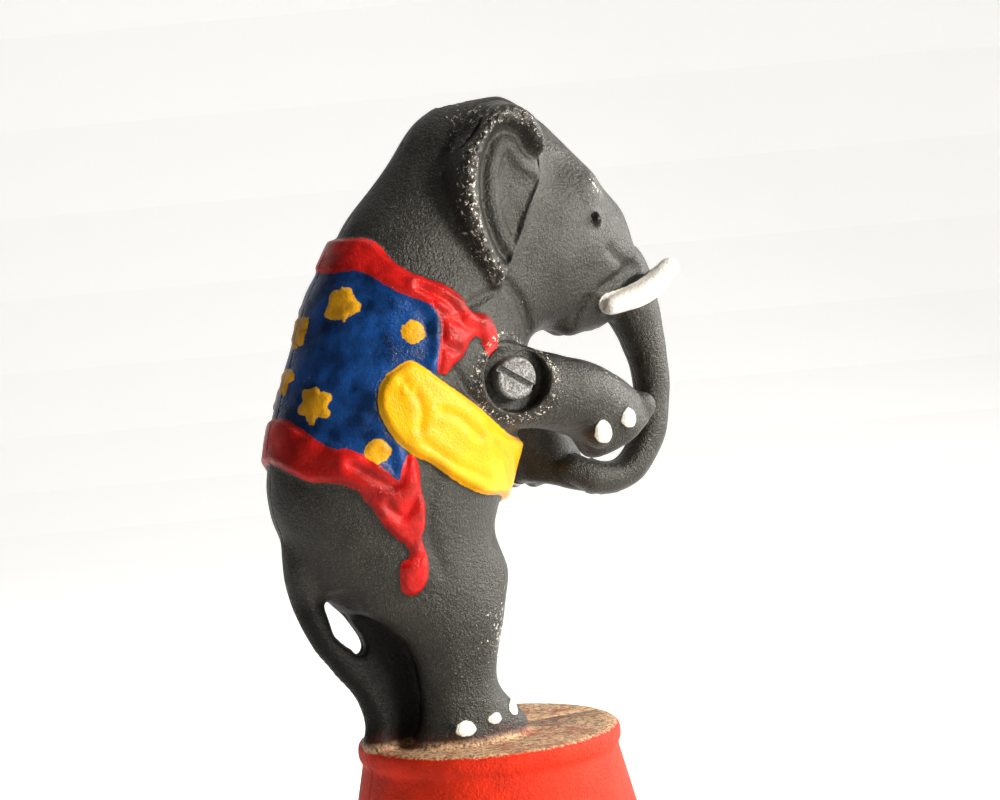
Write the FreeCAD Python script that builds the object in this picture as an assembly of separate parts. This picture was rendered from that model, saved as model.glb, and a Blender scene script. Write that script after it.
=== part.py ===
"""Cast-iron still bank: a circus elephant standing on a tub, in two half castings.

The halves meet on the plane Y = 0.  One slotted screw goes through the right
shoulder, across the coin chamber, into a square nut set in the left shoulder.
Frame: origin in the middle of the flat underside of the tub, +X the way the
elephant faces, +Y its left, +Z up.  Millimetres.
"""
import FreeCAD, Part
import math
import os

V = FreeCAD.Vector

# ---- tub ----
tubHeight = 44.0
deckRadius = 30.0          # over the top bead
baseRadius = 37.5          # over the bottom bead
topBead = 4.4              # height of the top bead
baseBead = 6.0
beadStep = 1.0             # how far a bead stands out from the wall
beadRound = 0.8
deckRound = 1.6            # top edge of the deck
deckThickness = 4.0
floorThickness = 3.4
wall = 3.2                 # iron thickness of tub and body

# ---- seam and registration ----
tongueWidth = 24.0         # floor tongue of the right half, along X
tongueReach = 7.0          # how far it crosses the seam
pegDiameter = 4.0          # peg behind the trunk root
pegReach = 3.0
locateClearance = 0.3
pegX, pegZ = 38.0, tubHeight + 108.0

# ---- coin slot, in the seam on top of the head ----
slotLength = 27.0
slotWidth = 3.2
slotDepth = 30.0           # a channel down into the chamber
slotX, slotZ = 15.5, tubHeight + 130.0

# ---- clamp screw, 1/4-20, and its square nut ----
screwX, screwZ = 5.2, tubHeight + 80.2
threadDiameter = 6.35
holeClearance = 0.1        # round the shank, each side
headDiameter = 9.5
headHeight = 3.6
headDome = 0.8
driveWidth = 1.5
driveDepth = 1.5
driveAngle = -33.0         # the slot's slope, degrees
recessClearance = 2.75     # round the head, each side
headSeatY = -17.0
seatClearance = 0.05
nutSize = 11.1
nutThickness = 5.6
nutSeatY = 15.0
nutChamfer = 0.8
boreClearance = 0.05       # each side: the thread is left plain
pocketClearance = 0.2
bossWall = 3.7             # iron round the screw hole

screwHole = threadDiameter + 2 * holeClearance
recessDiameter = headDiameter + 2 * recessClearance
nutBore = threadDiameter + 2 * boreClearance
bossDiameter = screwHole + 2 * bossWall

# ---- elephant: heights above the deck ----
# body outline as pairs of back and front points, and half width
bodySections = [
    # backX, backZ, frontX, frontZ, halfWidth
    (-33.0, 30.0, -2.0, 35.0, 12.5),
    (-42.0, 42.0, 5.5, 45.0, 17.5),
    (-46.5, 54.0, 7.5, 55.0, 19.5),
    (-47.0, 66.0, 12.0, 66.0, 20.5),
    (-43.5, 80.0, 15.0, 77.0, 20.0),
    (-36.5, 96.0, 16.5, 85.5, 19.0),
    (-25.5, 113.0, 19.5, 88.5, 17.0),
    (-11.5, 127.5, 24.0, 89.0, 15.5),
    (3.0, 139.5, 30.0, 88.0, 14.5),
    (17.0, 141.0, 35.5, 87.5, 13.5),
    (29.0, 132.5, 40.0, 90.0, 11.5),
    (38.5, 120.5, 44.0, 95.0, 9.0),
    (44.5, 109.0, 47.5, 99.0, 5.5),
]
chamberSections = (1, 3, 5, 7, 9)      # the hollow follows these, a wall inside

# tubes: x, y, z, radius in the upright plane, radius across
trunkStations = [
    (40.5, 0.0, 105.0, 7.2, 7.4),
    (45.0, 0.0, 94.0, 6.8, 7.0),
    (47.9, 0.0, 84.0, 5.2, 5.8),
    (49.4, 0.0, 74.5, 4.3, 4.8),
    (48.8, 0.0, 65.5, 4.1, 4.6),
    (45.6, 0.0, 57.8, 4.0, 4.5),
    (40.2, 0.0, 53.8, 3.8, 4.5),
    (35.0, 0.0, 53.2, 3.9, 4.6),
    (30.8, 0.0, 54.4, 4.3, 4.8),
]
tailStations = [
    (-38.0, 0.0, 54.0, 7.5, 7.0),
    (-40.8, 0.0, 43.5, 5.0, 5.0),
    (-40.8, 0.0, 35.5, 3.9, 4.2),
    (-38.2, 0.0, 27.0, 3.1, 3.6),
    (-33.6, 0.0, 19.5, 2.9, 3.4),
    (-29.3, 0.0, 12.5, 3.0, 3.4),
    (-27.2, 0.0, 5.0, 3.4, 3.8),
    (-26.4, 0.0, -2.5, 3.7, 4.2),
]
legY = 7.7                 # middle of each hind leg, from the seam
legStations = [
    (-17.5, legY, 46.0, 15.5, 7.0),
    (-13.8, legY, 37.5, 17.8, 8.6),
    (-11.0, legY, 30.5, 14.2, 8.6),
    (-9.9, legY, 23.0, 10.9, 7.7),
    (-9.9, legY, 16.0, 9.2, 7.0),
    (-9.6, legY, 10.5, 9.3, 6.9),
    (-8.4, legY, 5.0, 12.0, 7.3),
    (-8.0, legY, -1.5, 12.8, 7.5),
]
rightArmStations = [
    (-6.0, -9.0, 80.5, 12.0, 8.0),
    (5.0, -14.0, 78.3, 10.2, 7.8),
    (14.0, -14.6, 76.3, 8.7, 7.4),
    (21.5, -13.6, 74.0, 8.6, 7.6),
    (28.3, -12.2, 70.5, 9.0, 7.9),
    (32.0, -11.2, 66.0, 9.6, 8.0),
    (33.4, -10.8, 63.4, 8.9, 7.2),
]
leftArmStations = [
    (-6.0, 9.0, 80.5, 12.0, 8.0),
    (5.0, 14.0, 77.5, 10.8, 7.8),
    (14.5, 14.8, 73.5, 9.4, 7.5),
    (21.5, 14.2, 67.5, 8.8, 7.7),
    (25.8, 13.2, 61.0, 8.4, 7.9),
    (26.8, 12.8, 55.5, 8.4, 7.9),
    (26.2, 12.7, 52.2, 7.7, 7.2),
]

# thin web in the seam plane that ties the tail to the legs below the hole
webOutline = [(-38.0, 40.0), (-36.5, 35.5), (-32.5, 31.0), (-30.5, 26.5), (-30.0, 22.5),
              (-33.0, 19.0), (-28.0, 8.0), (-27.0, -2.0), (-10.0, -2.0), (-10.0, 40.0)]
webHalf = 2.6

# ---- ears and tusks ----
earOutline = [(19.0, 128.0), (17.8, 136.0), (13.5, 140.2), (7.5, 140.6), (1.5, 136.5),
              (-2.8, 129.0), (-3.6, 118.0), (-0.5, 108.5), (4.4, 100.2), (9.0, 106.5),
              (14.2, 116.0)]
earInnerY = 8.5
earFaceY = 15.5
earFlare = 7.0             # degrees the rear edge stands off
earHingeX = 18.0
tuskRoot = (35.6, 8.8, 93.3)
tuskTip = (51.0, 10.0, 100.2)
tuskRadius = 2.3

big = 400.0


def ovalWire(centre, upDir, radiusUp, sideDir, radiusSide):
    """A unit circle stretched into the plane of the two directions."""
    circle = Part.Wire(Part.Circle(V(0, 0, 0), V(0, 0, 1), 1.0).toShape())
    u = V(upDir).multiply(radiusUp)
    s = V(sideDir).multiply(radiusSide)
    n = V(upDir).cross(sideDir)
    matrix = FreeCAD.Matrix(u.x, s.x, n.x, centre.x,
                            u.y, s.y, n.y, centre.y,
                            u.z, s.z, n.z, centre.z,
                            0, 0, 0, 1)
    return circle.transformGeometry(matrix)


def loftOvals(wires):
    solid = Part.makeLoft(wires, True, False, False)
    if solid.Volume < 0:
        solid.reverse()
    return solid


def onDeck(shape):
    shape.translate(V(0, 0, tubHeight))
    return shape


def bodyLoft(sections, inset=0.0):
    wires = []
    for backX, backZ, frontX, frontZ, halfWidth in sections:
        back, front = V(backX, 0, backZ), V(frontX, 0, frontZ)
        along = (front - back)
        half = along.Length / 2.0
        along.normalize()
        wires.append(ovalWire((back + front) * 0.5, along, half - inset,
                              V(0, 1, 0), halfWidth - inset))
    return onDeck(loftOvals(wires))


def tubeLoft(stations):
    points = [V(*station[:3]) for station in stations]
    wires = []
    for i, station in enumerate(stations):
        before, after = points[max(i - 1, 0)], points[min(i + 1, len(points) - 1)]
        tangent = (after - before).normalize()
        upright = tangent.cross(V(0, 1, 0)).normalize()
        side = upright.cross(tangent).normalize()
        wires.append(ovalWire(points[i], upright, station[3], side, station[4]))
    return onDeck(loftOvals(wires))


def cylinderY(x, z, diameter, y0, y1):
    return Part.makeCylinder(diameter / 2.0, abs(y1 - y0), V(x, min(y0, y1), z), V(0, 1, 0))


def boxAbout(x0, x1, y0, y1, z0, z1):
    return Part.makeBox(x1 - x0, y1 - y0, z1 - z0, V(x0, y0, z0))


def mirrorY(shape):
    return shape.mirror(V(0, 0, 0), V(0, 1, 0))


def tubOuter():
    wallTop = deckRadius - beadStep
    wallFoot = baseRadius - beadStep
    points = [(0, 0), (baseRadius, 0), (baseRadius, baseBead), (wallFoot, baseBead),
              (wallTop, tubHeight - topBead), (deckRadius, tubHeight - topBead),
              (deckRadius, tubHeight), (0, tubHeight)]
    profile = Part.makePolygon([V(r, 0, z) for r, z in points + points[:1]])
    tub = Part.Face(profile).revolve(V(0, 0, 0), V(0, 0, 1), 360)
    rims = {tubHeight: deckRound, tubHeight - topBead: beadRound, baseBead: beadRound}
    for height, radius in rims.items():
        edges = [e for e in tub.Edges if isinstance(e.Curve, Part.Circle)
                 and abs(e.Curve.Center.z - height) < 1e-3]
        outer = max(edges, key=lambda e: e.Curve.Radius)
        tub = tub.makeFillet(radius, [outer])
    return tub


def tubHollow():
    foot = baseRadius - beadStep - wall
    top = deckRadius - beadStep - wall
    z0, z1 = floorThickness, tubHeight - deckThickness
    return Part.makeCone(foot, top, z1 - z0, V(0, 0, z0), V(0, 0, 1))


def ear():
    """The right ear: a flap with its rear edge standing off the neck."""
    curve = Part.BSplineCurve()
    curve.interpolate([V(x, -earInnerY, z) for x, z in earOutline], PeriodicFlag=True)
    face = Part.Face(Part.Wire(curve.toShape()))
    flap = face.extrude(V(0, earInnerY - earFaceY, 0))
    flap.rotate(V(earHingeX, -earFaceY, 0), V(0, 0, 1), earFlare)
    return onDeck(flap)


def tusk():
    """The right tusk: a straight round bar with domed ends."""
    root = V(tuskRoot[0], -tuskRoot[1], tuskRoot[2])
    tip = V(tuskTip[0], -tuskTip[1], tuskTip[2])
    length = (tip - root).Length
    r, q = tuskRadius, tuskRadius * math.sqrt(0.5)
    outline = Part.Wire([
        Part.Arc(V(0, 0, -r), V(q, 0, -q), V(r, 0, 0)).toShape(),
        Part.LineSegment(V(r, 0, 0), V(r, 0, length)).toShape(),
        Part.Arc(V(r, 0, length), V(q, 0, length + q), V(0, 0, length + r)).toShape(),
        Part.LineSegment(V(0, 0, length + r), V(0, 0, -r)).toShape()])
    bar = Part.Face(outline).revolve(V(0, 0, 0), V(0, 0, 1), 360)
    bar.Placement = FreeCAD.Placement(root, FreeCAD.Rotation(V(0, 0, 1), tip - root))
    return onDeck(bar)


def tailWeb():
    outline = Part.makePolygon([V(x, -webHalf, z) for x, z in webOutline + webOutline[:1]])
    return onDeck(Part.Face(outline).extrude(V(0, 2 * webHalf, 0)))


def coinSlot():
    return boxAbout(slotX - slotLength / 2, slotX + slotLength / 2,
                    -slotWidth / 2, slotWidth / 2,
                    slotZ - slotDepth / 2, slotZ + slotDepth / 2)


def coinChamber():
    chamber = bodyLoft([bodySections[i] for i in chamberSections], wall)
    boss = cylinderY(screwX, screwZ, bossDiameter, -big, big)
    return chamber.cut(boss)


def halfSpace(sign):
    y0, y1 = (-big, 0.0) if sign < 0 else (0.0, big)
    return boxAbout(-big, big, y0, y1, -big, big)


def figureHalf(sign, arm):
    """One half of the casting before its screw hole: sign -1 is the right."""
    leg, flap, ivory = tubeLoft(legStations), ear(), tusk()
    if sign < 0:
        leg = mirrorY(leg)
    else:
        flap, ivory = mirrorY(flap), mirrorY(ivory)
    space = halfSpace(sign)
    middle = [part.common(space) for part in (bodyLoft(bodySections), tubeLoft(trunkStations),
                                              tubeLoft(tailStations), tailWeb(), tubOuter())]
    half = middle[0].fuse(middle[1:] + [leg.common(space), arm, flap.common(space), ivory])
    half = half.cut([coinChamber(), tubHollow(), coinSlot()])
    return half


def floorTongue(grow):
    return boxAbout(-tongueWidth / 2 - grow, tongueWidth / 2 + grow, -wall, tongueReach + grow,
                    0.0 if grow == 0 else -1.0, floorThickness + grow)


def rightHalf():
    half = figureHalf(-1, tubeLoft(rightArmStations))
    boss = cylinderY(screwX, screwZ, bossDiameter, headSeatY, 0)
    half = half.fuse([boss, floorTongue(0.0), cylinderY(pegX, pegZ, pegDiameter, -pegReach, pegReach)])
    recess = cylinderY(screwX, screwZ, recessDiameter, -big, headSeatY)
    hole = cylinderY(screwX, screwZ, screwHole, -big, big)
    return half.cut([recess, hole])


def leftHalf():
    half = figureHalf(1, tubeLoft(leftArmStations))
    half = half.fuse(cylinderY(screwX, screwZ, bossDiameter, 0, nutSeatY))
    across = nutSize / 2 + pocketClearance
    pocket = boxAbout(screwX - across, screwX + across, nutSeatY, big,
                      screwZ - across, screwZ + across)
    hole = cylinderY(screwX, screwZ, screwHole, -big, big)
    peg = cylinderY(pegX, pegZ, pegDiameter + 2 * locateClearance, -1, pegReach + locateClearance)
    return half.cut([pocket, hole, peg, floorTongue(locateClearance)])


def clampScrew():
    under = headSeatY - seatClearance
    top = under - headHeight
    head = cylinderY(screwX, screwZ, headDiameter, under, top)
    crown = [e for e in head.Edges if isinstance(e.Curve, Part.Circle)
             and abs(e.Curve.Center.y - top) < 1e-3]
    head = head.makeFillet(headDome, crown)
    shank = cylinderY(screwX, screwZ, threadDiameter, under, nutSeatY + nutThickness)
    drive = boxAbout(-headDiameter, headDiameter, top, top + driveDepth,
                     -driveWidth / 2, driveWidth / 2)
    drive.rotate(V(0, 0, 0), V(0, 1, 0), -driveAngle)
    drive.translate(V(screwX, 0, screwZ))
    return head.fuse(shank).cut(drive)


def clampNut():
    half = nutSize / 2
    y0, y1 = nutSeatY + seatClearance, nutSeatY + seatClearance + nutThickness
    block = boxAbout(screwX - half, screwX + half, y0, y1, screwZ - half, screwZ + half)
    corners = half * math.sqrt(2.0)
    cone = Part.makeCone(corners + nutThickness - nutChamfer, corners - nutChamfer,
                         nutThickness, V(screwX, y0, screwZ), V(0, 1, 0))
    return block.common(cone).cut(cylinderY(screwX, screwZ, nutBore, -big, big))


def export(name, shape):
    shape = shape.removeSplitter()
    solids = shape.Solids
    print("%-12s solids %d  valid %s  volume %.1f cm3" % (
        name, len(solids), shape.isValid(), shape.Volume / 1000.0), shape.BoundBox)
    (solids[0] if len(solids) == 1 else Part.makeCompound(solids)).exportStep("parts/%s.step" % name)


os.makedirs("parts", exist_ok=True)
export("right_half", rightHalf())
export("left_half", leftHalf())
export("clamp_screw", clampScrew())
export("clamp_nut", clampNut())
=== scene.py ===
import math

import bmesh
import bpy
import numpy as np
from mathutils import Matrix, Vector


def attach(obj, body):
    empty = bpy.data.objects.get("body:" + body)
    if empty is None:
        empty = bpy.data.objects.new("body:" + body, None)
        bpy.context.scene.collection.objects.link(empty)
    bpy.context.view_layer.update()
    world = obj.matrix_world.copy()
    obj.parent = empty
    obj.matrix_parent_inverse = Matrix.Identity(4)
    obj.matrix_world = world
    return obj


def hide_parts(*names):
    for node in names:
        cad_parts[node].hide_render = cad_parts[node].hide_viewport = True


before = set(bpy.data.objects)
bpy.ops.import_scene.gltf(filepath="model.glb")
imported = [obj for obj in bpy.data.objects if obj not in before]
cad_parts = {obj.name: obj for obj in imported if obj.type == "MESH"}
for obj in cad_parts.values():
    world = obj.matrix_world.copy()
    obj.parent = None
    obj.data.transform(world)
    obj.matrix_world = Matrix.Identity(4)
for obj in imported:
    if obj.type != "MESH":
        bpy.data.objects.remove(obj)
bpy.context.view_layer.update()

scene = bpy.context.scene
mm = 0.001
deckTop = 44.0          # top of the tub, in millimetres like every size in the dictionaries below

camera = {"azimuth": -25.0, "elevation": 4.37, "roll": 5.03, "lens": 97.2,
          "target": (8.3, -3.87, 118.5), "distance": 608.8}
room = {"floor": 3.0, "sweepStart": 0.75, "sweepRadius": 0.6, "sweepCuts": 12,
        "colour": (0.86, 0.85, 0.83), "roughness": 0.85, "glowColour": (1.0, 0.995, 0.975),
        "glow": (0.20, 0.52)}   # towards the figure, towards the camera
lights = [  # name, place, size, watts, colour
    ("keySoft", (0.42, -0.54, 0.34), 0.30, 9.4, (1.0, 0.985, 0.95)),
    ("rightSoft", (0.70, 0.05, 0.28), 0.45, 4.8, (1.0, 0.99, 0.97)),
    ("topSoft", (0.05, 0.1, 0.85), 0.5, 0.9, (1.0, 1.0, 1.0)),
]
lampAim = (0, 0, 0.11)
air = {"colour": (1.0, 0.99, 0.97), "strength": 0.12}


def addCamera():
    az, el, roll = (math.radians(camera[k]) for k in ("azimuth", "elevation", "roll"))
    back = Vector((math.sin(az) * math.cos(el), -math.cos(az) * math.cos(el), math.sin(el)))
    right = Vector((0, 0, 1)).cross(back).normalized()
    up = back.cross(right)
    tiltedRight = right * math.cos(roll) - up * math.sin(roll)
    tiltedUp = right * math.sin(roll) + up * math.cos(roll)
    data = bpy.data.cameras.new("mainView")
    data.lens, data.sensor_width = camera["lens"], 36.0
    view = bpy.data.objects.new("mainView", data)
    turn = Matrix((tiltedRight, tiltedUp, back)).transposed().to_4x4()
    view.matrix_world = Matrix.Translation(
        Vector(camera["target"]) * mm + back * camera["distance"] * mm) @ turn
    scene.collection.objects.link(view)
    scene.camera = view


def addRoom():
    # a pale floor that curves up into a backdrop behind the figure
    bm = bmesh.new()
    reach, start, radius = room["floor"], room["sweepStart"], room["sweepRadius"]
    line = [bm.verts.new((-reach, y, 0)) for y in (-reach, start)]
    for cut in range(1, room["sweepCuts"] + 1):
        turn = math.radians(90 * cut / room["sweepCuts"])
        line.append(bm.verts.new((-reach, start + radius * math.sin(turn),
                                  radius * (1 - math.cos(turn)))))
    line.append(bm.verts.new((-reach, start + radius, reach)))
    edges = [bm.edges.new(pair) for pair in zip(line, line[1:])]
    made = bmesh.ops.extrude_edge_only(bm, edges=edges)["geom"]
    bmesh.ops.translate(bm, verts=[v for v in made if isinstance(v, bmesh.types.BMVert)],
                        vec=(2 * reach, 0, 0))
    bmesh.ops.recalc_face_normals(bm, faces=bm.faces)
    floor = meshObject("paleFloor", bm)
    turn = Matrix.Rotation(math.radians(camera["azimuth"]), 4, "Z")
    floor.data.transform(turn)
    mat, nodes, links, shader = newMaterial("floorPaper", room["colour"], room["roughness"])
    shader.inputs["Emission Color"].default_value = (*room["glowColour"], 1)
    ray = nodes.new("ShaderNodeLightPath")
    glow = nodes.new("ShaderNodeMapRange")
    glow.inputs["To Min"].default_value, glow.inputs["To Max"].default_value = room["glow"]
    links.new(ray.outputs["Is Camera Ray"], glow.inputs["Value"])
    links.new(glow.outputs["Result"], shader.inputs["Emission Strength"])
    floor.data.materials.append(mat)


def addLights():
    for name, place, size, watts, colour in lights:
        data = bpy.data.lights.new(name, "AREA")
        data.shape, data.size, data.energy, data.color = "DISK", size, watts, colour
        lamp = bpy.data.objects.new(name, data)
        lamp.location = place
        aim = Vector(lampAim) - lamp.location
        lamp.rotation_euler = aim.to_track_quat("-Z", "Y").to_euler()
        scene.collection.objects.link(lamp)
    world = bpy.data.worlds.new("studioAir")
    world.use_nodes = True
    back = world.node_tree.nodes["Background"]
    back.inputs["Color"].default_value = (*air["colour"], 1)
    back.inputs["Strength"].default_value = air["strength"]
    scene.world = world
    scene.view_settings.view_transform = "Standard"


def meshObject(name, bm):
    data = bpy.data.meshes.new(name)
    bm.to_mesh(data)
    bm.free()
    piece = bpy.data.objects.new(name, data)
    scene.collection.objects.link(piece)
    return piece


def smoothShade(piece):
    piece.data.polygons.foreach_set("use_smooth", [True] * len(piece.data.polygons))
    piece.data.update()


def newMaterial(name, colour, roughness, metallic=0.0):
    mat = bpy.data.materials.new(name)
    mat.use_nodes = True
    nodes, links = mat.node_tree.nodes, mat.node_tree.links
    shader = nodes["Principled BSDF"]
    shader.inputs["Base Color"].default_value = (*colour, 1)
    shader.inputs["Roughness"].default_value = roughness
    shader.inputs["Metallic"].default_value = metallic
    return mat, nodes, links, shader


def step(x, low, high):
    # rises smoothly from 0 at low to 1 at high
    t = np.clip((x - low) / (high - low), 0.0, 1.0)
    return t * t * (3 - 2 * t)


def bell(x, width):
    # a soft bump, 1 in the middle
    return np.exp(-(x / width) ** 2)


def curvePoints(points, closed=True, cuts=6):
    # a smooth line through a few chosen points
    p = np.array(points, float)
    n = len(p)
    line = []
    for i in range(n if closed else n - 1):
        if closed:
            a, b, c, d = p[i - 1], p[i], p[(i + 1) % n], p[(i + 2) % n]
        else:
            a, b, c, d = p[max(i - 1, 0)], p[i], p[i + 1], p[min(i + 2, n - 1)]
        for t in np.arange(cuts) / cuts:
            line.append(0.5 * (2 * b + (c - a) * t + (2 * a - 5 * b + 4 * c - d) * t * t
                               + (3 * b - a - 3 * c + d) * t ** 3))
    if not closed:
        line.append(p[-1])
    return np.array(line)


def lineDistance(x, z, line, closed):
    # distance of every vertex from a drawn line, seen from the side
    ends = np.roll(line, -1, axis=0) if closed else line[1:]
    starts = line if closed else line[:-1]
    best = np.full(len(x), 1e9)
    for (ax, az), (bx, bz) in zip(starts, ends):
        dx, dz = bx - ax, bz - az
        long = max(dx * dx + dz * dz, 1e-9)
        t = np.clip(((x - ax) * dx + (z - az) * dz) / long, 0, 1)
        best = np.minimum(best, (x - ax - t * dx) ** 2 + (z - az - t * dz) ** 2)
    return np.sqrt(best)


def outlineDistance(x, z, points):
    # positive inside the outline, negative outside, in millimetres
    line = curvePoints(points)
    inside = np.zeros(len(x), bool)
    for (ax, az), (bx, bz) in zip(line, np.roll(line, -1, axis=0)):
        if az == bz:
            continue
        crosses = ((az > z) != (bz > z)) & (x < (bx - ax) * (z - az) / (bz - az) + ax)
        inside ^= crosses
    far = lineDistance(x, z, line, True)
    return np.where(inside, far, -far)


def axisDistance(co, place):
    # distance from a line that runs across the figure at (x, z)
    return np.hypot(co[:, 0] - place[0], co[:, 2] - place[1])


def spotDistance(co, place, side):
    # distance from a place that counts y outward from the seam
    return np.linalg.norm(co - np.array(place) * (1, side, 1), axis=1)


eye = {"place": (32.4, 12.2, 157.1), "radius": 1.8}
# x, y, z, half width, half height; a foot nail counts y outward from the seam, and in the
# hands -1 is the right casting and 1 the left
footNails = [(-12.1, 14.5, 48.1, 2.3, 1.7), (-4.8, 14.4, 49.2, 1.7, 1.15), (0.9, 12.0, 50.4, 1.3, 1.6)]
handNails = {-1: [(25.4, -18.4, 109.9, 2.1, 2.5), (32.1, -18.6, 112.2, 1.8, 2.1)],
             1: [(19.8, 18.6, 98.4, 1.8, 1.9), (25.8, 20.4, 97.6, 1.8, 1.9)]}
handToes = {-1: [(25.2, -17.6, 109.6, 3.2, 3.6), (32.0, -17.4, 111.8, 3.1, 3.5),
                 (38.6, -13.8, 114.0, 3.8, 3.5)],
            1: [(19.8, 17.0, 99.0, 3.0, 3.2), (25.8, 18.4, 98.2, 3.0, 3.2), (31.4, 15.6, 98.6, 2.9, 3.2)]}
tusk = {"root": (35.4, 10.5, 137.3), "bend": (43.6, 11.4, 139.6), "tip": (50.9, 10.2, 144.5),
        "radii": (2.3, 2.7, 2.5)}
trunkTip = {1: {"line": [(36.0, 1.5, 97.6), (31.0, 4.0, 98.2), (26.5, 8.0, 100.5)],
                "radii": (3.4, 4.0, 4.4)},
            -1: {"line": [(36.0, -1.2, 97.7), (31.0, -1.0, 98.4), (27.0, 0.6, 100.4)],
                 "radii": (3.4, 3.7, 3.6)}}
# the swelling under a foot nail
footToe = {"behind": (0.8, 2.2, 0.8), "wider": 1.2, "higher": 1.5, "deep": 3.0}
handToeDepth = 3.2


def addBall(bm, centre, sizes, turn=None):
    made = bmesh.ops.create_uvsphere(bm, u_segments=24, v_segments=16, radius=1.0)["verts"]
    bmesh.ops.scale(bm, verts=made, vec=[s * mm for s in sizes])
    if turn is not None:
        bmesh.ops.rotate(bm, verts=made, cent=(0, 0, 0), matrix=turn)
    bmesh.ops.translate(bm, verts=made, vec=[c * mm for c in centre])


def addTube(bm, points, radii, rounds=20):
    # rings bridged along a smooth line, closed by a ball at each end
    line = curvePoints(points, closed=False, cuts=5)
    sizes = np.interp(np.linspace(0, 1, len(line)), np.linspace(0, 1, len(radii)), radii)
    rings = []
    for i, place in enumerate(line):
        ahead = Vector(line[min(i + 1, len(line) - 1)] - line[max(i - 1, 0)])
        made = bmesh.ops.create_circle(bm, segments=rounds, radius=sizes[i] * mm)["verts"]
        turn = ahead.to_track_quat("Z", "Y").to_matrix()
        bmesh.ops.rotate(bm, verts=made, cent=(0, 0, 0), matrix=turn)
        bmesh.ops.translate(bm, verts=made, vec=Vector(place) * mm)
        rings.append(list({e for v in made for e in v.link_edges}))
    for first, second in zip(rings, rings[1:]):
        bmesh.ops.bridge_loops(bm, edges=first + second)
    for ring in (rings[0], rings[-1]):
        bmesh.ops.contextual_create(bm, geom=ring)
    addBall(bm, line[0], [sizes[0]] * 3)
    addBall(bm, line[-1], [sizes[-1]] * 3)


def addForms(bm, side):
    # shapes that the smooth castings carry besides their plain lofts
    def at(x, y, z):
        return (x, y * side, z)

    addTube(bm, [at(*tusk[part]) for part in ("root", "bend", "tip")], tusk["radii"])
    addBall(bm, at(*eye["place"]), [eye["radius"]] * 3)
    addTube(bm, trunkTip[side]["line"], trunkTip[side]["radii"])
    for x, y, z, wide, high in footNails:
        dx, dy, dz = footToe["behind"]
        addBall(bm, at(x - dx, y - dy, z - dz),
                (wide + footToe["wider"], footToe["deep"], high + footToe["higher"]))
    for x, y, z, wide, high in handToes[side]:
        addBall(bm, (x, y, z), (wide, handToeDepth, high))


def voxelMesh(bm, name, size):
    rough = meshObject(name + "Rough", bm)
    remesh = rough.modifiers.new("voxels", "REMESH")
    remesh.mode, remesh.voxel_size, remesh.adaptivity = "VOXEL", size * mm, 0.0
    graph = bpy.context.evaluated_depsgraph_get()
    data = bpy.data.meshes.new_from_object(rough.evaluated_get(graph))
    data.name = name
    bpy.data.objects.remove(rough)
    return data


def readMesh(data):
    co = np.empty(len(data.vertices) * 3)
    data.vertices.foreach_get("co", co)
    ends = np.empty(len(data.edges) * 2, int)
    data.edges.foreach_get("vertices", ends)
    return co.reshape(-1, 3) / mm, ends.reshape(-1, 2)


def writeMesh(data, co):
    data.vertices.foreach_set("co", (co * mm).astype(np.float32).ravel())
    data.update()


def normalsOf(data):
    out = np.empty(len(data.vertices) * 3)
    data.vertex_normals.foreach_get("vector", out)
    return out.reshape(-1, 3)


def relax(co, ends, weight, rounds):
    a, b = ends[:, 0], ends[:, 1]
    count = np.bincount(a, minlength=len(co)) + np.bincount(b, minlength=len(co))
    for turn in range(rounds):
        mean = np.stack([np.bincount(a, co[b, k], len(co)) + np.bincount(b, co[a, k], len(co))
                         for k in range(3)], 1) / count[:, None]
        co = co + (mean - co) * weight[:, None]
    return co


# ways into the inside of a casting: the seam, the coin slot in the crown and the tongue in the floor
openings = {"seam": 0.3, "slotMiddle": 15.5, "slotReach": 14.2, "slotSide": 2.0, "slotFrom": 158.0,
            "tongueTop": 3.9, "tongueSide": 7.8, "tongueReach": 13.0}


def outerSkin(co, ends, side):
    # vertices reached from the crown without crossing the seam, the slot or the floor tongue
    x, y, z = co[:, 0], co[:, 1] * side, co[:, 2]
    seam = y < openings["seam"]
    slot = (y < openings["slotSide"]) & (z > openings["slotFrom"])
    slot &= abs(x - openings["slotMiddle"]) < openings["slotReach"]
    tongue = (y < openings["tongueSide"]) & (z < openings["tongueTop"])
    tongue &= abs(x) < openings["tongueReach"]
    free = ~(seam | slot | tongue)
    label = np.arange(len(co))
    keep = free[ends[:, 0]] & free[ends[:, 1]]
    a, b = ends[keep, 0], ends[keep, 1]
    while True:
        low = np.minimum(label[a], label[b])
        new = label.copy()
        np.minimum.at(new, a, low)
        np.minimum.at(new, b, low)
        new = new[new]
        if (new == label).all():
            break
        label = new
    crown = np.argmax(np.where(free, z, -1))
    return label == label[crown]


def touched(chosen, ends):
    # vertices within two edges of the chosen ones
    for turn in range(2):
        near = chosen.copy()
        near[ends[chosen[ends[:, 1]], 0]] = True
        near[ends[chosen[ends[:, 0]], 1]] = True
        chosen = near
    return chosen


def roughness(co, size):
    # soft bumps between -1 and 1: nine waves whose odd numbers keep them from lining up
    total = np.zeros(len(co))
    for k in range(9):
        way = np.array((math.sin(2.1 * k + 0.4), math.cos(1.3 * k + 1.0), math.sin(3.7 * k + 2.0)))
        way *= (0.8 + 0.07 * k) * 2 * math.pi / size
        total += np.sin(co @ way + 1.7 * k * k)
    return total / 4.5


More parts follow.
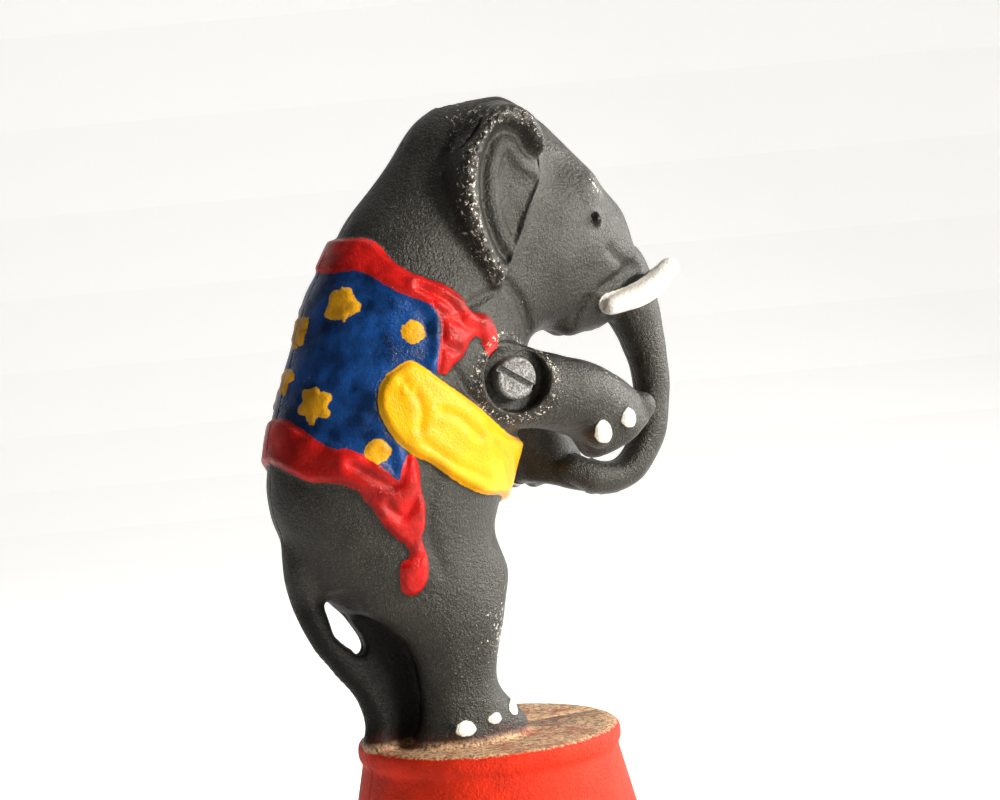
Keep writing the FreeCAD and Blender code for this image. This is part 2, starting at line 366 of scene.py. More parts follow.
# painted cloth, cast in the iron: outlines seen from the side, x forward and z up; proud is a
# height, edge says where it starts and is full, and welt is a padded line: height, place, width
collar = {"proud": 1.5, "edge": (-0.4, 1.3), "outline": [
    (-50.0, 156.5), (-34.0, 157.5), (-25.5, 157.8), (-22.4, 157.6), (-20.3, 155.9), (-18.9, 152.9),
    (-16.5, 150.1), (-12.6, 147.9), (-8.4, 145.8), (-5.0, 142.8), (-2.9, 139.6),
    (0.6, 138.6), (2.6, 135.5), (2.8, 131.7), (-0.3, 129.6), (-1.4, 132.0), (-2.4, 134.2),
    (-4.7, 133.4), (-6.4, 130.8), (-9.6, 128.4), (-12.0, 126.8), (-13.6, 128.4),
    (-12.9, 131.8), (-11.8, 135.4), (-11.6, 139.1), (-13.0, 141.8), (-15.5, 143.3),
    (-18.7, 145.0), (-21.3, 147.0), (-23.8, 149.2), (-26.0, 150.4), (-30.0, 150.2),
    (-36.0, 151.0), (-50.0, 149.5)]}
field = {"proud": 0.7, "edge": (-0.3, 0.7), "welt": (0.8, 1.6, 1.3), "outline": [
    (-60.0, 154.0), (-30.0, 154.0), (-14.5, 146.0), (-10.8, 140.0), (-11.2, 134.5), (-12.4, 129.6),
    (-15.0, 126.2), (-20.0, 122.0), (-22.5, 112.0), (-22.8, 107.4), (-25.4, 104.6), (-31.0, 108.0),
    (-38.6, 112.6), (-44.0, 113.5), (-60.0, 112.0)]}
trim = {"outline": [
    (-60.0, 121.0), (-46.0, 120.8), (-43.0, 120.0), (-41.0, 117.4), (-37.5, 113.6), (-33.7, 112.8),
    (-28.4, 108.9), (-25.2, 105.6), (-24.0, 108.4), (-22.2, 110.6), (-20.6, 109.7),
    (-20.0, 107.0), (-19.9, 102.6), (-19.0, 99.2), (-19.1, 94.8), (-20.0, 91.6), (-18.8, 88.2),
    (-18.7, 84.2), (-19.7, 81.0), (-22.2, 79.4), (-24.4, 80.8), (-24.9, 83.4), (-25.0, 86.6),
    (-22.9, 88.4), (-23.8, 90.9), (-26.0, 93.0), (-28.1, 95.2), (-29.8, 98.3), (-31.7, 101.1),
    (-34.0, 104.4), (-38.5, 106.2), (-42.0, 106.6), (-45.0, 109.0), (-49.0, 112.5), (-60.0, 112.0)]}
belt = {"proud": 1.9, "edge": (-0.5, 1.4), "clear": (-0.2, 0.6), "front": 19.0, "outline": [
    (-22.6, 129.3), (-19.5, 130.6), (-17.0, 129.3), (-11.9, 124.9), (-6.0, 120.5),
    (0.1, 115.0), (5.0, 111.6), (12.0, 109.8), (30.0, 108.0), (30.0, 92.0), (9.0, 94.5),
    (3.0, 98.0), (-4.2, 99.6), (-11.4, 103.5), (-17.3, 108.2), (-20.1, 109.6), (-22.9, 111.8),
    (-25.3, 114.9), (-26.8, 118.5), (-27.3, 121.8), (-26.6, 125.0), (-24.8, 127.9)]}
stars = [  # centre, radius, points, first point's angle
    ((-29.9, 9.8, 143.3), 3.9, 5, 62.0),
    ((-38.8, 10.4, 123.0), 4.1, 6, 20.0),
    ((-36.5, 0.0, 138.6), 3.9, 5, 30.0),
    ((-41.5, 0.0, 128.6), 3.6, 5, 75.0),
    ((-17.6, 17.6, 136.4), 2.35, 0, 0.0),
    ((-28.6, 18.5, 112.1), 2.45, 0, 0.0),
]
starShape = {"proud": 0.55, "edge": (-0.2, 1.0), "round": 0.95, "wave": 0.15}
crease = {"width": 0.8, "bank": 0.45, "bankAt": 1.9, "bankWidth": 1.1, "fade": (0.2, 1.6)}
pleats = {"depth": 0.65, "lines": [
    [(-10.6, 140.0), (-6.0, 136.6), (-2.6, 135.4)], [(-12.6, 133.6), (-8.4, 131.6), (-6.0, 131.4)],
    [(-14.5, 146.0), (-9.4, 142.2), (-6.6, 138.6)], [(-20.4, 103.0), (-24.4, 97.6), (-27.6, 100.4)],
    [(-19.8, 88.4), (-22.0, 87.6), (-24.6, 88.0)], [(-23.6, 110.0), (-26.0, 104.4), (-34.0, 109.6)]]}
wrinkles = {"depth": 0.4, "lines": [
    [(-21.6, 126.6), (-18.6, 121.0), (-19.6, 115.4)], [(-14.0, 119.0), (-10.0, 117.0), (-5.6, 112.6)],
    [(-19.0, 113.0), (-12.0, 107.4), (-4.0, 103.4)], [(-2.0, 110.4), (2.0, 106.6), (4.0, 102.0)]]}
rivet = {"place": (-20.9, 124.5), "radius": 1.0, "depth": 0.5, "width": 0.45}
weave = {"depth": 0.12, "size": 7.0}
leftArm = {"line": [(14.5, 14.8, 117.5), (21.5, 14.2, 111.5), (25.8, 13.2, 105.0), (26.2, 12.7, 96.0)],
           "radius": 9.4, "gap": 0.4}


def starDistance(x, y, z):
    # positive inside a star or a dot; the wave in its edge makes the points
    best = np.full(len(x), -99.0)
    for (cx, cy, cz), radius, points, first in stars:
        along = np.hypot(x - cx, y - cy) * np.sign(x - cx + 0.6 * (y - cy))
        turn = np.arctan2(z - cz, along)
        wave = np.cos(points * (turn - math.radians(first)))
        reach = radius * (starShape["round"] + starShape["wave"] * wave)
        best = np.maximum(best, reach - np.hypot(along, z - cz))
    return best


def foldRelief(x, z, red, gold):
    # narrow creases, each with a soft bank beside it
    total = np.zeros(len(x))
    for folds, cloth in ((pleats, red), (wrinkles, gold)):
        depth = folds["depth"] * step(cloth, *crease["fade"])
        for line in folds["lines"]:
            far = lineDistance(x, z, curvePoints(line, closed=False), False)
            total -= depth * bell(far, crease["width"])
            total += depth * crease["bank"] * bell(far - crease["bankAt"], crease["bankWidth"])
    return total


def clothRelief(co, side):
    # heights of the painted cloth, and the distances that the paint reads
    x, y, z = co[:, 0], abs(co[:, 1]), co[:, 2]
    red = np.maximum(outlineDistance(x, z, collar["outline"]), outlineDistance(x, z, trim["outline"]))
    blue = outlineDistance(x, z, field["outline"])
    gold = np.minimum(outlineDistance(x, z, belt["outline"]), belt["front"] - x)
    if side > 0:        # the belt stops short of the foreleg that only the left casting has
        arm = curvePoints(leftArm["line"], closed=False, cuts=4)
        reach = np.min([np.linalg.norm(co - p, axis=1) for p in arm], axis=0)
        gold = np.minimum(gold, reach - leftArm["radius"] - leftArm["gap"])
    starry = starDistance(x, y, z)
    high, inward, width = field["welt"]
    height = field["proud"] * step(blue, *field["edge"]) + high * bell(blue - inward, width)
    height = np.maximum(height, collar["proud"] * step(red, *collar["edge"]))
    height += starShape["proud"] * step(starry, *starShape["edge"]) * step(-red, -1.0, 0.0)
    under = height * step(-gold, *belt["clear"])        # the cloth sinks away beside the belt
    over = np.maximum(under, belt["proud"] * step(gold, *belt["edge"]))
    height = np.where(gold > -belt["clear"][1], over, height)
    ring = axisDistance(co, rivet["place"]) - rivet["radius"]
    height += foldRelief(x, z, red, gold) + rivet["depth"] * bell(ring, rivet["width"]) * (gold > 0)
    height += weave["depth"] * roughness(co, weave["size"]) * step(np.maximum(red, blue), 0.0, 1.0)
    return height, red, blue, gold, starry


# the ear: whole outline, worn rear edge, and how the flap rises and dips inward from that edge
ear = {"outline": [(19.6, 172.0), (18.2, 178.5), (14.0, 183.6), (8.0, 184.8), (2.0, 181.0),
                   (-2.8, 173.5), (-3.9, 164.5), (-2.6, 156.5), (0.5, 148.8), (4.0, 144.0),
                   (7.0, 147.8), (10.8, 154.6), (14.6, 162.0), (18.0, 167.0)],
       "rear": [(20.0, 177.5), (17.5, 181.6), (12.5, 184.2), (7.0, 184.2), (1.7, 180.6),
                (-2.3, 173.2), (-3.4, 164.0), (-2.2, 156.3), (0.7, 149.0), (4.2, 144.6)],
       "profile": [(0.0, 0.4), (1.0, 1.4), (2.4, 1.8), (3.9, 1.3), (5.0, -0.9), (6.3, -2.2),
                   (8.0, -1.0), (9.6, -0.8), (11.0, -1.6), (13.0, -1.9), (20.0, -1.2)],
       "lip": 0.3, "faceY": 13.0,
       "rimAt": 2.1, "rimReach": 3.0, "rimFull": 1.35, "beads": 0.5, "beadSize": 2.2}


def earRelief(co, normal, side, figure):
    # rise of the ear out of the head, and 1 on its beaded rim
    x, z = co[:, 0], co[:, 2]
    inside = outlineDistance(x, z, ear["outline"])
    rear = lineDistance(x, z, curvePoints(ear["rear"], closed=False), False)
    rear = np.where(inside > 0, rear, -rear)
    lift = np.interp(rear, *zip(*ear["profile"]))
    onRim = np.clip(ear["rimFull"] - abs(rear - ear["rimAt"]) / ear["rimReach"], 0, 1)
    lift += onRim * ear["beads"] * roughness(co, ear["beadSize"])
    lift = lift * step(inside, -0.4, 0.8) + ear["lip"] * bell(inside - 0.8, 1.0) * (rear > 5)
    flap = figure & (co[:, 1] * side > ear["faceY"]) & (normal[:, 1] * side > 0.2) & (inside > -0.6)
    return np.where(flap, lift, 0.0), np.where(flap | (abs(rear) < 1.2), onRim, 0.0)


# soft swellings and hollows: place with y outward from the seam, reach, height
swells = [((31.5, 10.5, 164.5), 4.0, 1.1), ((23.5, 13.5, 169.0), 4.5, -1.1),
          ((32.4, 12.0, 157.3), 2.9, -0.8),
          ((22.0, 14.0, 149.5), 6.5, 0.8), ((29.0, 10.5, 146.0), 4.0, -0.5), ((27.5, 3.0, 132.2), 3.6, 2.0),
          ((-4.0, 15.5, 69.0), 9.0, 0.8), ((24.5, 18.5, 120.5), 6.0, 0.9)]
grooves = [  # line seen from the side, depth, width
    ([(3.9, 144.0), (-0.5, 142.2), (-4.6, 140.8)], 0.9, 1.2),
    ([(-9.0, 127.5), (-5.8, 120.8), (-2.6, 116.0)], 0.8, 1.1),
    ([(6.6, 145.4), (10.5, 140.9), (14.4, 133.8)], 1.0, 1.3),
    ([(-15.0, 106.4), (-18.6, 95.0), (-15.0, 84.0)], 0.6, 1.8),
    ([(29.4, 139.5), (27.2, 135.6), (27.6, 131.8)], 0.8, 0.8),
    ([(33.0, 141.6), (36.4, 143.0), (40.0, 144.6)], 0.7, 1.0),
    ([(35.5, 150.0), (39.5, 146.5), (44.0, 145.0)], 0.6, 1.4)]
skinWaves = {"depth": 0.09, "size": 9.0}


def softRelief(co, side):
    # the muscles, folds and slight waves of the bare skin
    x, y, z = co[:, 0], co[:, 1] * side, co[:, 2]
    total = skinWaves["depth"] * roughness(co, skinWaves["size"])
    for (cx, cy, cz), reach, high in swells:
        total += high * np.exp(-((x - cx) ** 2 + (y - cy) ** 2 + (z - cz) ** 2) / reach ** 2)
    for line, depth, width in grooves:
        far = lineDistance(x, z, curvePoints(line, closed=False), False)
        total -= depth * bell(far, width) * step(y, 4.0, 9.0)
    return total


# round recess of the clamp screw; no wall is shifted within the first of the still radii
recess = {"axis": (5.2, 124.2), "radius": 7.5, "ring": 1.4, "from": 10.0,
          "wornAt": 9.2, "wornWidth": 1.6, "wornShare": 0.8, "still": (9.0, 14.0)}


nudges = [  # place in the seam plane, shift, reach, which part of the wall
    ((0.0, 184.0), (-0.5, 2.3), 9.0, "middle"), ((-13.0, 171.5), (-0.8, 0.9), 8.0, "all"),
    ((-22.0, 163.0), (-0.9, 0.8), 7.0, "all"), ((15.0, 185.0), (0.5, 1.5), 6.0, "middle"),
    ((-6.0, 179.5), (-1.2, 1.2), 7.0, "middle"), ((0.0, 180.5), (1.6, -1.5), 6.5, "ears"),
    ((17.5, 179.0), (1.2, 0.2), 4.5, "ears"), ((36.5, 168.0), (0.9, 0.8), 6.0, "all"),
    ((45.5, 152.0), (-0.9, -0.5), 4.5, "all"), ((-43.0, 124.0), (1.6, 0.2), 10.0, "all"),
    ((-38.0, 135.0), (1.1, 0.1), 7.0, "all"), ((-46.5, 111.0), (0.6, 0.0), 7.0, "all"),
    ((48.5, 111.0), (-0.6, 0.2), 7.0, "all"), ((46.0, 102.0), (-0.7, 0.7), 6.0, "all"),
    ((7.0, 88.5), (-1.5, 0.3), 5.0, "all"), ((5.0, 79.5), (1.7, 0.0), 6.5, "all"),
    ((-30.5, 57.0), (0.8, 0.0), 5.0, "all"), ((-28.5, 50.0), (0.9, 0.0), 4.5, "all"),
    ((-34.8, 77.0), (-0.4, 3.1), 4.2, "all"), ((-30.6, 67.4), (1.5, 0.0), 3.6, "all"),
    ((-38.4, 75.6), (-1.2, 0.2), 2.6, "all"), ((-35.0, 70.0), (-0.9, 0.0), 2.6, "all")]


def nudge(co):
    # small shifts of the whole wall, the same in both halves, none near the screw or the tub
    shift = np.zeros_like(co)
    middle = step(-abs(co[:, 1]), -14.0, -8.0)
    for (cx, cz), (dx, dz), reach, where in nudges:
        share = {"all": 1.0, "middle": middle, "ears": 1 - middle}[where]
        pull = np.exp(-((co[:, 0] - cx) ** 2 + (co[:, 2] - cz) ** 2) / reach ** 2)
        shift += (pull * share)[:, None] * (dx, 0, dz)
    hold = step(co[:, 2], deckTop + 0.5, deckTop + 5.0)
    hold = hold * step(axisDistance(co, recess["axis"]), *recess["still"])
    return co + shift * hold[:, None]


nailDepth = 4.5
tuskPaint = 3.1         # how far from its middle line the tusk is white


def whiteDistance(co, side):
    # positive on the toenails, and on the toenails and the tusk
    white = np.full(len(co), -99.0)
    nails = [(x, y * side, z, w, h) for x, y, z, w, h in footNails] + handNails[side]
    for x, y, z, wide, high in nails:
        turn = np.arctan2(co[:, 2] - z, co[:, 0] - x)
        d = np.sqrt(((co[:, 0] - x) / wide) ** 2 + ((co[:, 2] - z) / high) ** 2)
        d = d * (1 + 0.06 * np.sin(3 * turn + x) + 0.03 * np.sin(7 * turn))
        white = np.maximum(white, np.where(abs(co[:, 1] - y) < nailDepth, (1 - d) * high, -99))
    line = curvePoints([tusk["root"], tusk["bend"], tusk["tip"]], closed=False, cuts=8)
    near = np.min([spotDistance(co, p, side) for p in line], axis=0)
    return white, np.maximum(white, tuskPaint - near)


crispReach = {"eye": 2.6, "footNail": 3.6, "handToe": 5.0, "tusk": 4.0}


def crispParts(co, side):
    # small shapes that the smoothing should leave alone
    line = curvePoints([tusk["root"], tusk["bend"], tusk["tip"]], closed=False, cuts=6)
    spots = [(eye["place"], side, "eye")]
    spots += [(nail[:3], side, "footNail") for nail in footNails]
    spots += [(toe[:3], 1, "handToe") for toe in handToes[side]]
    spots += [(place, side, "tusk") for place in line]
    near = np.zeros(len(co), bool)
    for place, turned, name in spots:
        near |= spotDistance(co, place, turned) < crispReach[name]
    return near


wear = [  # where the paint is worn: place with y outward from the seam, reach
    ((33.5, 9.5, 164.5), 4.5), ((30.0, 13.0, 120.5), 6.5), ((2.0, 12.0, 68.0), 9.0),
    ((40.0, 9.5, 115.0), 4.0), ((-16.0, 16.5, 160.0), 4.5), ((4.0, 9.0, 184.0), 6.0)]
# on the ear rim the light chips are partly real wear and partly painted glints
wearShare = {"spots": 0.9, "earRim": 0.72}
# the gap between the tail and the legs that gets painted shade: near the seam, at the back, low down
paintedShade = {"side": (-8.5, -5.0), "behind": (13.0, 19.0), "below": (-84.0, -76.0)}
eyeShine = 1.9
paintReach = 5.0        # past this distance the paint needs no number


def wearAndGlintPlaces(co, side, earRim, fromScrew):
    # 0 for whole paint up to 1 where it is chipped; on the ear rim the light chips are partly painted
    # glints
    wearAndGlints = wearShare["earRim"] * earRim
    for place, reach in wear:
        spot = np.exp(-(spotDistance(co, place, side) / reach) ** 2)
        wearAndGlints = np.maximum(wearAndGlints, wearShare["spots"] * spot)
    ring = bell(fromScrew - recess["wornAt"], recess["wornWidth"])
    return np.maximum(wearAndGlints, recess["wornShare"] * ring * (abs(co[:, 1]) > recess["from"]))


def paintedShadePlaces(co):
    # painted shade: the gap between the tail and the legs, where little light falls, is darkened
    hidden = step(-abs(co[:, 1]), *paintedShade["side"])
    return hidden * step(-co[:, 0], *paintedShade["behind"]) * step(-co[:, 2], *paintedShade["below"])


def writePaint(data, figure, paint):
    # every paint is an attribute that the iron's material reads
    for name, value in paint.items():
        value = np.clip(value, -paintReach, paintReach)
        value = np.where(figure | (name == "whitePaint"), value, -paintReach).astype(np.float32)
        data.attributes.new(name, "FLOAT", "POINT").data.foreach_set("value", value)


# soften holds the shares of each round of smoothing; relief beside the seam, closer than
# seamNear, only runs along it
casting = {"weld": 2e-6, "voxel": 0.5, "relax": 34, "settle": 2,
           "keepTriangles": 190000, "hiddenCut": 0.85, "feetFrom": 0.8, "leastWay": 0.3,
           "soften": {"figure": 0.5, "plain": 0.12, "crisp": 0.1, "recess": 0.05, "settle": 0.3},
           "seamEdge": 0.26, "seamNear": 1.3, "seamGap": 0.03, "nailRise": 0.4,
           "peg": (38.0, 152.0), "pegReach": 3.2}


def thinSkin(piece, outer, ends):
    # first the walls that can't be seen, then the whole skin down to the limit
    group = piece.vertex_groups.new(name="hidden")
    group.add(np.nonzero(~touched(outer, ends))[0].tolist(), 1.0, "REPLACE")
    wallShare = 1 - casting["hiddenCut"] * (1 - float(outer.mean()))
    for ratio, name in ((wallShare, "hidden"), (None, "")):
        thin = piece.modifiers.new("thin", "DECIMATE")
        thin.vertex_group = name
        total = sum(len(p.vertices) - 2 for p in piece.data.polygons)
        thin.ratio = ratio or min(1.0, casting["keepTriangles"] / total)
        graph = bpy.context.evaluated_depsgraph_get()
        piece.data = bpy.data.meshes.new_from_object(piece.evaluated_get(graph))
        piece.modifiers.clear()
        print(piece.name, "thinned from", total, "triangles to", len(piece.data.polygons))
    piece.vertex_groups.clear()


def sculpt(node, side):
    bm = bmesh.new()
    bm.from_mesh(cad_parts[node].data)
    bmesh.ops.remove_doubles(bm, verts=bm.verts, dist=casting["weld"])
    addForms(bm, side)
    data = voxelMesh(bm, node + "Skin", casting["voxel"])
    co, ends = readMesh(data)
    print(node, "voxels:", len(co), "vertices")

    # round the plain form; the recess of the screw, the seam and the tub keep theirs
    outer = outerSkin(co, ends, side)
    fromScrew = axisDistance(co, recess["axis"])
    sunk = (fromScrew < recess["radius"] + recess["ring"]) & (abs(co[:, 1]) > recess["from"])
    seam = co[:, 1] * side < casting["seamEdge"]
    data.update()
    edgeWay = normalsOf(data) * (1, 0, 1)
    rim = seam & (np.linalg.norm(edgeWay, axis=1) > casting["leastWay"]) & touched(outer, ends)
    figure = (outer | rim) & (co[:, 2] > deckTop + casting["feetFrom"])
    soften = casting["soften"]
    weight = np.where(figure, soften["figure"], soften["plain"])
    weight[crispParts(co, side)] = soften["crisp"]
    weight[sunk] = soften["recess"]
    weight[seam] = 0.0
    co = nudge(relax(co, ends, weight, casting["relax"]))
    writeMesh(data, co)
    print(node, "is rounded")

    # raise the relief; beside the seam it only moves within the plane of the seam
    normal = normalsOf(data)
    nearSeam = co[:, 1] * side < casting["seamNear"]
    normal[nearSeam] = (normal + edgeWay)[nearSeam] * (1, 0, 1)
    length = np.linalg.norm(normal[nearSeam], axis=1)
    normal[nearSeam] /= np.maximum(length, casting["leastWay"])[:, None]
    height, red, blue, gold, starry = clothRelief(co, side)
    earLift, earRim = earRelief(co, normal, side, figure)
    bare = step(-np.maximum(np.maximum(red, blue), gold), -0.5, 0.5) * (earLift == 0)
    nails, white = whiteDistance(co, side)
    height = height + softRelief(co, side) * bare + casting["nailRise"] * step(nails, -0.3, 0.5)
    co = co + normal * np.where(figure & ~sunk, height, 0.0)[:, None]
    co[:, 1] += earLift * side
    weight = np.where(figure & ~sunk & ~seam, soften["settle"], 0.0)
    co = relax(co, ends, weight, casting["settle"])
    crossing = (axisDistance(co, casting["peg"]) < casting["pegReach"]) | (co[:, 2] < deckTop)
    depth = np.where(crossing, abs(co[:, 1]), co[:, 1] * side)      # the peg and the tongue cross the seam
    co[depth < openings["seam"], 1] = casting["seamGap"] * side
    writeMesh(data, co)
    print(node, "carries its relief")

    # the gap between the tail and the legs gets painted shade
    writePaint(data, figure, {
        "redPaint": red, "bluePaint": blue, "goldPaint": gold, "starPaint": starry, "whitePaint": white,
        # on the ear rim the wear number also carries painted glints
        "wearAndGlints": wearAndGlintPlaces(co, side, earRim, fromScrew), "paintedShading": paintedShadePlaces(co),
        "shine": eyeShine - spotDistance(co, eye["place"], side)})
    piece = bpy.data.objects.new(node + "Casting", data)
    scene.collection.objects.link(piece)
    thinSkin(piece, outer, ends)
    smoothShade(piece)
    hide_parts(node)
    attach(piece, "right_casting" if side < 0 else "left_casting")
    return piece


# linear colours; the last near-black one is painted shade for the gap between tail and legs, and also the
# eye's own black
paints = {"black": (0.010, 0.0095, 0.008), "grain": (0.060, 0.055, 0.042), "red": (0.50, 0.010, 0.008),
          "blue": (0.006, 0.040, 0.155), "gold": (0.86, 0.40, 0.004), "star": (0.66, 0.31, 0.010),
          "white": (0.86, 0.80, 0.70), "chip": (0.70, 0.64, 0.54), "rust": (0.16, 0.055, 0.025),
          "tub": (0.70, 0.024, 0.004), "deck": (0.80, 0.50, 0.27),
          "deckDirt": (0.105, 0.050, 0.034), "deckRed": (0.30, 0.035, 0.015),
          "bleed": (0.075, 0.018, 0.012), "paintedShade": (0.004, 0.004, 0.004)}
coats = [  # attribute, raggedness of its edge, colour, darkest and lightest share
    ("bluePaint", 0.6, "blue", 0.3, 1.25), ("redPaint", 0.8, "red", 0.5, 1.15),
    ("starPaint", 1.6, "star", 0.55, 1.15), ("goldPaint", 0.6, "gold", 0.88, 1.04),
    ("whitePaint", 0.5, "white", 0.85, 1.05)]
grains = {  # noise scale, detail, roughness
    "edge": (700.0,), "mottle": (150.0, 5.0), "grain": (1500.0, 2.0, 0.7), "fine": (2700.0, 2.0, 0.8),
    "specks": (1100.0, 4.0, 0.75)}
levels = {"deck": (2.0, 0.2), "tub": (-0.25, -0.55), "bleed": (10.5, 5.0)}     # millimetres above the deck
# the sheen is lowered under the painted shade between the tail and the legs
finish = {"satin": 0.36, "gloss": 0.16, "deckRough": 0.2, "wornGloss": 0.6, "mottleGloss": 0.4,
          "sheen": 0.43, "dulling": 0.24, "shadeDulling": 1.5, "tint": (1.0, 0.965, 0.88),
          "chipsFrom": 0.71, "chipsWorn": 0.19, "tubRagged": 0.0016, "bleedRagged": 0.012,
          "bump": 0.9, "glossBump": 0.35, "bumpDepth": 0.00035, "edgeBump": 0.6, "fineBump": 0.5}


class Nodes:
    # short ways to make and join the shader nodes of one material
    def __init__(self, name, colour, roughness, metallic=0.0):
        self.mat, self.nodes, self.links, self.shader = newMaterial(name, colour, roughness, metallic)
        self.place = self.nodes.new("ShaderNodeTexCoord").outputs["Object"]

    def feed(self, slot, value):
        if isinstance(value, tuple):
            slot.default_value = (*value, 1)
        elif isinstance(value, (int, float)):
            slot.default_value = value
        else:
            self.links.new(value, slot)

    def noise(self, scale, detail=3.0, rough=0.6):
        made = self.nodes.new("ShaderNodeTexNoise")
        for key, value in (("Vector", self.place), ("Scale", scale), ("Detail", detail),
                           ("Roughness", rough)):
            self.feed(made.inputs[key], value)
        return made.outputs["Fac"]

    def ranged(self, value, low, high, a=0.0, b=1.0):
        made = self.nodes.new("ShaderNodeMapRange")
        for key, number in (("Value", value), ("From Min", low), ("From Max", high),
                            ("To Min", a), ("To Max", b)):
            self.feed(made.inputs[key], number)
        return made.outputs["Result"]

    def maths(self, kind, a, b):
        made = self.nodes.new("ShaderNodeMath")
        made.operation = kind
        self.feed(made.inputs[0], a)
        self.feed(made.inputs[1], b)
        return made.outputs[0]

    def blend(self, mask, under, over):
        made = self.nodes.new("ShaderNodeMix")
        made.data_type = "RGBA"
        for slot, value in ((0, mask), (6, under), (7, over)):
            self.feed(made.inputs[slot], value)
        return made.outputs[2]

    def attribute(self, name):
        made = self.nodes.new("ShaderNodeAttribute")
        made.attribute_name = name
        return made.outputs["Fac"]

    def toned(self, mask, colour, dark, light):
        return self.blend(mask, *(tuple(c * k for c in colour) for k in (dark, light)))

    def bump(self, height, strength, distance):
        made = self.nodes.new("ShaderNodeBump")
        for key, value in (("Height", height), ("Strength", strength), ("Distance", distance)):
            self.feed(made.inputs[key], value)
        self.links.new(made.outputs["Normal"], self.shader.inputs["Normal"])


def chipsAndGlints(n, colour, noises, gold):
    # chips down to the undercoat and rust, mostly where the casting is worn; on the ear rim the light chips
    # are partly painted glints
    wearAndGlints = n.ranged(n.attribute("wearAndGlints"), 0.0, 1.0)
    line = n.maths("SUBTRACT", finish["chipsFrom"], n.maths("MULTIPLY", wearAndGlints, finish["chipsWorn"]))
    chips = n.ranged(n.maths("SUBTRACT", noises["specks"], line), 0.0, 0.02)
    tone = n.blend(n.ranged(noises["edge"], 0.38, 0.48), paints["rust"], paints["chip"])
    return n.blend(n.maths("MULTIPLY", chips, n.maths("SUBTRACT", 1.0, gold)), colour, tone), wearAndGlints


def deckBoards(n, noises):
    # sandy top of the tub with dirt and a little of its red
    boards = n.blend(n.ranged(noises["specks"], 0.38, 0.58), paints["deckDirt"], paints["deck"])
    return n.blend(n.ranged(noises["mottle"], 0.52, 0.62, 0.0, 0.6), boards, paints["deckRed"])


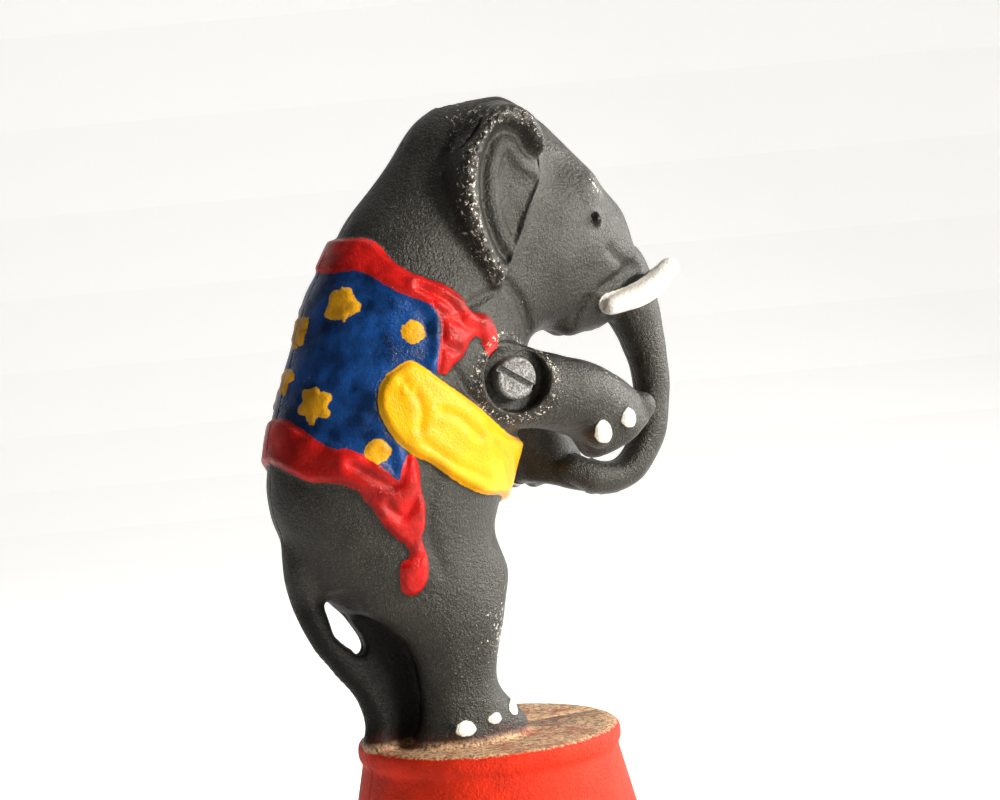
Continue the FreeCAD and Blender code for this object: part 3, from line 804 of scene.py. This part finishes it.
def paintedIron():
    n = Nodes("paintedIron", paints["black"], 0.5)
    split = n.nodes.new("ShaderNodeSeparateXYZ")
    n.links.new(n.place, split.inputs[0])
    height = split.outputs["Z"]
    noises = {name: n.noise(*sizes) for name, sizes in grains.items()}
    edge, mottle, fine = noises["edge"], noises["mottle"], noises["fine"]
    patch = n.ranged(mottle, 0.38, 0.62)

    def painted(name, ragged):
        wobble = n.maths("MULTIPLY", n.maths("SUBTRACT", edge, 0.5), ragged)
        return n.ranged(n.maths("ADD", n.attribute(name), wobble), -0.1, 0.1)

    def below(level, value, full=1.0):
        high, low = ((deckTop + above) * mm for above in levels[level])
        return n.ranged(value, high, low, 0.0, full)

    colour = n.toned(patch, paints["black"], 0.6, 1.3)
    colour = n.blend(n.ranged(fine, 0.54, 0.64), colour, paints["grain"])
    masks = {}
    for name, ragged, tone, dark, light in coats:
        masks[name] = painted(name, ragged)
        colour = n.blend(masks[name], colour, n.toned(patch, paints[tone], dark, light))
    # light chips, partly painted glints on the ear rim
    colour, wearAndGlints = chipsAndGlints(n, colour, noises, masks["goldPaint"])
    shine = n.ranged(n.attribute("shine"), -0.1, 0.2)
    # painted shade mask for the gap between the tail and the legs
    paintedShading = n.ranged(n.attribute("paintedShading"), 0.0, 1.0, 0.0, 0.85)
    # the eye is its own glossy black
    colour = n.blend(shine, colour, paints["paintedShade"])
    # painted shade: the gap between the tail and the legs turns near-black
    colour = n.blend(paintedShading, colour, paints["paintedShade"])
    # the feet pick up red from the deck
    bleed = below("bleed", n.maths("ADD", height, n.maths("MULTIPLY", mottle, finish["bleedRagged"])), 0.85)
    notWhite = n.maths("SUBTRACT", 1.0, masks["whitePaint"])
    colour = n.blend(n.maths("MULTIPLY", bleed, notWhite), colour, paints["bleed"])
    deck = below("deck", height)
    ragged = n.maths("MULTIPLY", n.maths("SUBTRACT", noises["specks"], 0.5), finish["tubRagged"])
    tub = below("tub", n.maths("ADD", height, ragged))
    colour = n.blend(deck, colour, deckBoards(n, noises))
    colour = n.blend(tub, colour, n.toned(patch, paints["tub"], 0.82, 1.1))
    n.feed(n.shader.inputs["Base Color"], colour)

    glossy = n.maths("MULTIPLY", wearAndGlints, finish["wornGloss"])
    for mask in (shine, *(masks[name] for name in masks if name != "whitePaint")):
        glossy = n.maths("MAXIMUM", glossy, mask)
    patchy = n.maths("ADD", glossy, n.maths("MULTIPLY", mottle, finish["mottleGloss"]))
    rough = n.ranged(patchy, 0.15, 1.25, finish["satin"], finish["gloss"])
    rough = n.maths("ADD", rough, n.maths("MULTIPLY", deck, finish["deckRough"]))
    dull = n.maths("MAXIMUM", glossy, tub)
    # painted shade also takes the sheen out of the gap between the tail and the legs
    dull = n.maths("MAXIMUM", dull, n.maths("MULTIPLY", paintedShading, finish["shadeDulling"]))
    sheen = n.maths("SUBTRACT", finish["sheen"], n.maths("MULTIPLY", dull, finish["dulling"]))
    n.feed(n.shader.inputs["Roughness"], rough)
    n.feed(n.shader.inputs["Specular IOR Level"], sheen)
    n.feed(n.shader.inputs["Specular Tint"], finish["tint"])
    relief = n.maths("ADD", noises["grain"], n.maths("MULTIPLY", edge, finish["edgeBump"]))
    relief = n.maths("ADD", relief, n.maths("MULTIPLY", fine, finish["fineBump"]))
    strength = n.maths("SUBTRACT", finish["bump"], n.maths("MULTIPLY", glossy, finish["glossBump"]))
    n.bump(relief, strength, finish["bumpDepth"])
    return n.mat


steel = {"dark": (0.070, 0.068, 0.065), "light": (0.30, 0.29, 0.27), "blot": (0.05, 0.032, 0.022),
         "metallic": 0.35, "roughness": (0.38, 0.6), "bump": (0.5, 0.0002)}


def wornSteel():
    n = Nodes("wornSteel", steel["dark"], 0.5, steel["metallic"])
    fine, blots = n.noise(2600.0, 3.0, 0.7), n.noise(420.0, 4.0)
    colour = n.blend(n.ranged(fine, 0.42, 0.62), steel["dark"], steel["light"])
    colour = n.blend(n.ranged(blots, 0.55, 0.68, 0.0, 0.7), colour, steel["blot"])
    n.feed(n.shader.inputs["Base Color"], colour)
    n.feed(n.shader.inputs["Roughness"], n.ranged(blots, 0.3, 0.7, *steel["roughness"]))
    n.bump(n.maths("ADD", fine, blots), *steel["bump"])
    return n.mat


def build():
    addCamera()
    addRoom()
    addLights()
    print("camera, room and lights are in place")
    iron = paintedIron()
    for node, side in (("right_half", -1), ("left_half", 1)):
        sculpt(node, side).data.materials.append(iron)
    fastener = wornSteel()
    for name in ("clamp_screw", "clamp_nut"):
        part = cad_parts[name]
        part.data.materials.clear()
        part.data.materials.append(fastener)
    print("all pieces are made")


build()
